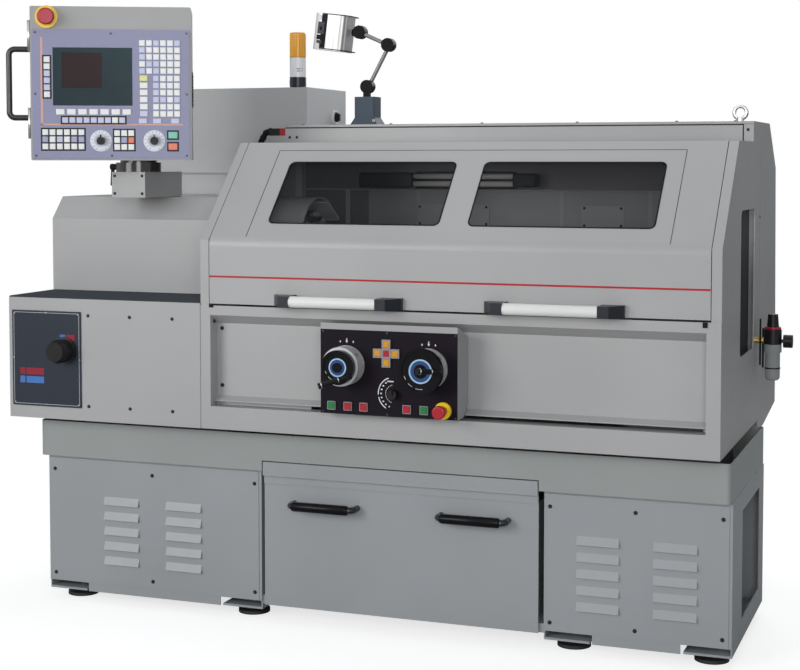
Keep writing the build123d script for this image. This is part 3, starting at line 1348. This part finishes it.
# Signal tower: foot, base, stem and lens in a stack
tower_levels = (
    (tower_radius * 3 / 4, tower_foot),
    (tower_radius, tower_base),
    (tower_radius - tower_step, tower_stem),
    (tower_radius - 2 * tower_step, tower_lens),
)
with BuildPart() as signal_tower:
    level_z = cabinet_top_z
    for radius, height in tower_levels:
        with Locations((tower_x, depth(tower_setback), level_z)):
            Cylinder(radius, height, align=from_base)
        level_z = level_z + height
    fillet(signal_tower.faces().sort_by(Axis.Z)[-1].edges(), radius=tower_foot)
write(signal_tower, "signal_tower")

# Lifting eyes on the cabinet and on the top box
with BuildPart() as lifting_eyes:
    for (eye_x, eye_depth), seat_z, eye_axis in ((eye_cabinet, cabinet_top_z, (1, 0, 0)),
                                                 (eye_guard, top_box_z, (0, 1, 0))):
        with Locations((eye_x, depth(eye_depth), seat_z)):
            Cylinder(eye_shank_radius, eye_shank_length, align=from_base)
        ring_z = seat_z + eye_shank_length * 3 / 4 + eye_ring_radius
        with Locations(Plane(origin=(eye_x, depth(eye_depth), ring_z), z_dir=eye_axis)):
            Torus(eye_ring_radius, eye_wire_radius)
            Cylinder(eye_bore_radius, 4 * eye_wire_radius, mode=Mode.SUBTRACT)
write(lifting_eyes, "lifting_eyes")

# Work lamp: a footed base and a jointed arm; the pieces meet side by side at each pin
lamp_y = depth(lamp_setback)
near_span = (lamp_y - lamp_joint_width / 2, lamp_y)
far_span = (lamp_y + running_gap, lamp_y + running_gap + lamp_joint_width / 2)


def knuckle(x, z, span):
    """A round joint cheek on a cross pin."""
    with Locations(front_plane(span[1])):
        with Locations((x, z, 0)):
            Cylinder(lamp_joint_radius, span[1] - span[0], align=from_base)


def pin(x, z, mode=Mode.ADD, room=0.0):
    """The cross pin of a lamp joint, or its hole."""
    with Locations(front_plane(far_span[1] - running_gap)):
        with Locations((x, z, 0)):
            Cylinder(lamp_pivot_radius + room, far_span[1] - near_span[0] - 2 * running_gap,
                     align=from_base, mode=mode)


def lamp_tube(start, end, y):
    """A straight tube between two joints of the lamp."""
    run = hypot(end[0] - start[0], end[1] - start[1])
    with Locations(Plane(origin=(start[0], y, start[1]), z_dir=(end[0] - start[0], 0, end[1] - start[1]))):
        Cylinder(lamp_tube_radius, run, align=from_base)


lamp_foot = (lamp_x, lamp_joint_z)
with BuildPart() as lamp_base:
    with BuildSketch(Plane.XY.offset(top_box_z)):
        with Locations((lamp_x, lamp_y)):
            RectangleRounded(lamp_base_flare, lamp_base_flare, lamp_cheek)
    with BuildSketch(Plane.XY.offset(top_box_z + lamp_flare_height)):
        with Locations((lamp_x, lamp_y)):
            RectangleRounded(lamp_base_width, lamp_base_width, lamp_cheek)
    loft()
    extrude(lamp_base.faces().sort_by(Axis.Z)[-1], amount=lamp_base_height - lamp_flare_height)
    block(around(lamp_x, lamp_joint_radius), near_span, (top_box_z + lamp_base_height, lamp_joint_z))
    knuckle(*lamp_foot, near_span)
    pin(*lamp_foot)
write(lamp_base, "lamp_base")

with BuildPart() as lamp_lower_arm:
    knuckle(*lamp_foot, far_span)
    knuckle(*lamp_elbow, far_span)
    lamp_tube(lamp_foot, lamp_elbow, middle(far_span))
    pin(*lamp_foot, mode=Mode.SUBTRACT, room=shaft_gap)
    pin(*lamp_elbow)
write(lamp_lower_arm, "lamp_lower_arm")

with BuildPart() as lamp_upper_arm:
    knuckle(*lamp_elbow, near_span)
    knuckle(*lamp_wrist, near_span)
    lamp_tube(lamp_elbow, lamp_wrist, middle(near_span))
    pin(*lamp_elbow, mode=Mode.SUBTRACT, room=shaft_gap)
    pin(*lamp_wrist)
write(lamp_upper_arm, "lamp_upper_arm")

# Lamp head: an open shell that leans on the last joint
head_x = lamp_wrist[0] - lamp_joint_radius - 2 * overrun - lamp_head_width / 2
head_plane = Plane(origin=(head_x, lamp_y, lamp_wrist[1]), x_dir=(cos(radians(lamp_head_lean)), 0,
                   -sin(radians(lamp_head_lean))), z_dir=(sin(radians(lamp_head_lean)), 0,
                                                          cos(radians(lamp_head_lean))))
with BuildPart() as lamp_head:
    with BuildSketch(head_plane.offset(-lamp_head_height / 2)):
        RectangleRounded(lamp_head_width, lamp_head_depth, lamp_joint_radius)
    extrude(amount=lamp_head_height)
    offset(amount=-sheet, openings=lamp_head.faces().sort_by(Axis.Z)[0])
    knuckle(*lamp_wrist, far_span)
    block((head_x + lamp_head_width / 2 - 2 * sheet, lamp_wrist[0]), far_span,
          around(lamp_wrist[1], lamp_joint_radius))
    pin(*lamp_wrist, mode=Mode.SUBTRACT, room=shaft_gap)
write(lamp_head, "lamp_head")

# Air unit on the right end: fitting, body, bowl and gauge
with BuildPart() as air_unit:
    with Locations(along_x(guard_right_x, air_y, air_z)):
        Cylinder(air_fitting_radius, air_x - guard_right_x, align=from_base)
    with Locations((air_x, air_y, air_z)):
        Cylinder(air_body_radius, air_body_height)
    with Locations((air_x, air_y, air_z - air_body_height / 2)):
        Cylinder(air_bowl_radius, air_bowl_height, align=(Align.CENTER, Align.CENTER, Align.MAX))
    fillet(air_unit.faces().sort_by(Axis.Z)[0].edges(), radius=air_bowl_radius / 2)
    with Locations(along_x(air_x, air_y, air_z)):
        Cylinder(air_stem_radius, air_gauge_x - air_x, align=from_base)
    with Locations(along_x(air_gauge_x, air_y, air_z)):
        Cylinder(air_gauge_radius, air_gauge_length, align=from_base)
    with Locations((air_x, air_y, air_z + air_body_height / 2)):
        Cylinder(air_stem_radius + shaft_gap, air_body_height / 2, mode=Mode.SUBTRACT)
write(air_unit, "air_unit")

# Regulator knob on top of the air unit
with BuildPart() as air_regulator_knob:
    with Locations((air_x, air_y, air_z + air_body_height / 2 + running_gap)):
        Cone(air_knob_radius, air_knob_radius * 4 / 5, air_knob_height, align=from_base)
        Cylinder(air_stem_radius, air_body_height / 5, align=(Align.CENTER, Align.CENTER, Align.MAX))
write(air_regulator_knob, "air_regulator_knob")
